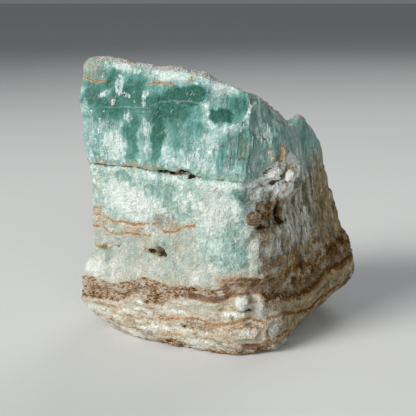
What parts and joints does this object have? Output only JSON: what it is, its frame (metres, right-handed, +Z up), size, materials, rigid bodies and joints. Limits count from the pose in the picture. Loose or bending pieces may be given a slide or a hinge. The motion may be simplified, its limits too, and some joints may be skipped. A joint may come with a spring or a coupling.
{
  "type": "raw caribbean calcite chunk",
  "caption": "Rough broken chunk of banded blue-green calcite and brown aragonite, trimmed flat below so that it stands upright.",
  "frame": {"origin": "middle of the plan, on the surface that the stone stands on", "axes": "+Z up; +X to the right along the broad front face with the parting line; +Y to the back"},
  "size_m": [0.1085, 0.0834, 0.1035],
  "materials": {
    "calcite": "satin"
  },
  "bodies": {
    "root": {"calcite": "calcite"}
  },
  "joints": []
}
